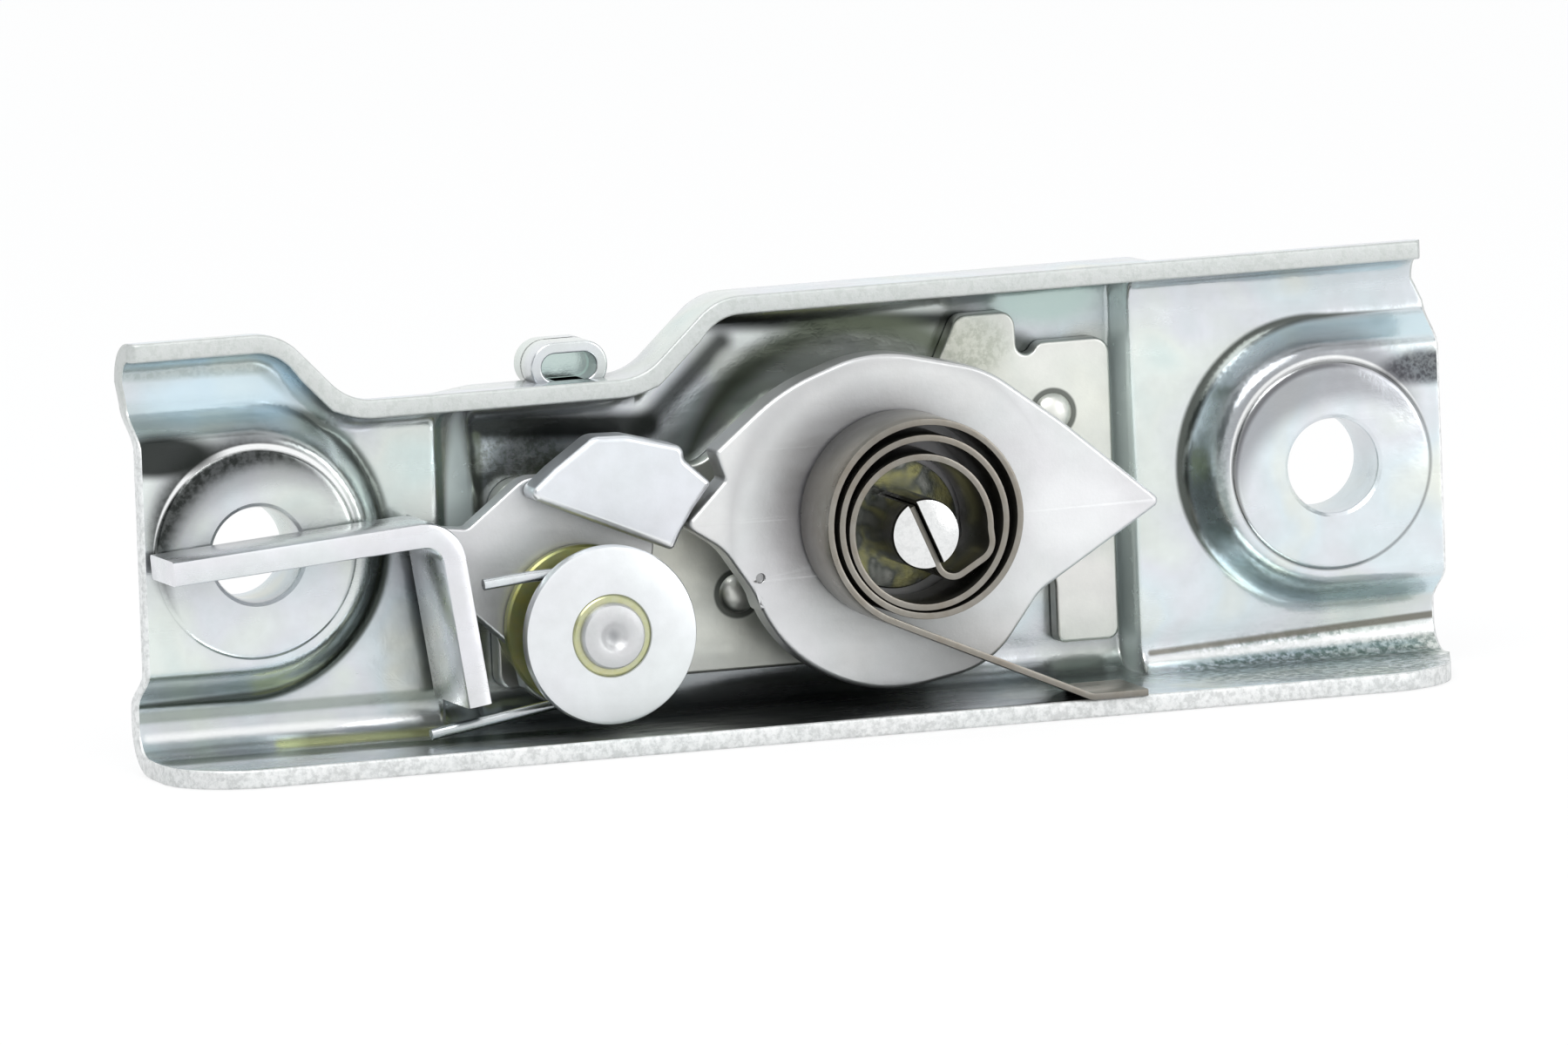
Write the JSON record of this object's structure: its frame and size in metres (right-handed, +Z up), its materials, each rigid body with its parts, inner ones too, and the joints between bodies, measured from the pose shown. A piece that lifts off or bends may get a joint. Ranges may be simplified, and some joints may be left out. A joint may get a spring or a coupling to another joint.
{
  "type": "hood lock",
  "caption": "Pressed sheet-steel hood lock with a sprung rotor, a pawl with a long release arm and a bolt hole at each end.",
  "frame": {"origin": "middle of the base: centred in X and Y on the whole lock, Z 0 on the flat underside of the lower flange", "axes": "+X along the channel towards the beak end, +Y from the open front to the back wall, +Z up to the top lip"},
  "size_m": [0.1314, 0.0248, 0.0415],
  "materials": {
    "zinc_sheet": "clear zinc plate, satin",
    "cream_plate": "pale passivated steel, satin",
    "pale_steel": "pale zinc-flake coating, satin",
    "yellow_bush": "yellow passivated, satin",
    "spring_steel": "tempered spring strip, satin"
  },
  "bodies": {
    "case_body": {"case": "zinc_sheet", "bearing_plate": "cream_plate", "plate_rivet_left": "cream_plate", "plate_rivet_right": "cream_plate", "rotor_bush": "yellow_bush", "spiral_spring": "spring_steel", "pawl_bush": "yellow_bush", "pawl_spacer": "yellow_bush", "pawl_washer": "pale_steel", "pawl_rivet": "pale_steel", "pawl_rear_washer": "zinc_sheet", "pawl_spring": "zinc_sheet"},
    "rotor_body": {"rotor": "pale_steel", "rotor_shaft": "pale_steel", "hub_collar": "yellow_bush", "shaft_washer": "zinc_sheet"},
    "pawl_body": {"pawl_lever": "pale_steel", "pawl_tooth": "pale_steel", "tooth_rivets": "pale_steel"}
  },
  "joints": [
    {"name": "rotor_turn", "type": "hinge", "parent": "case_body", "child": "rotor_body", "pos_m": [0.0087, -0.00135, 0.0191], "axis": [0, -1, 0], "range_deg": [0, 42], "deforming": ["spiral_spring"]},
    {"name": "pawl_turn", "type": "hinge", "parent": "case_body", "child": "pawl_body", "pos_m": [-0.0219, -0.00135, 0.0114], "axis": [0, -1, 0], "range_deg": [0, 12.6], "deforming": ["pawl_spring"]}
  ],
  "couplings": [
    {"joint": "pawl_turn", "follows": "rotor_turn", "ratio": 0.3}
  ]
}
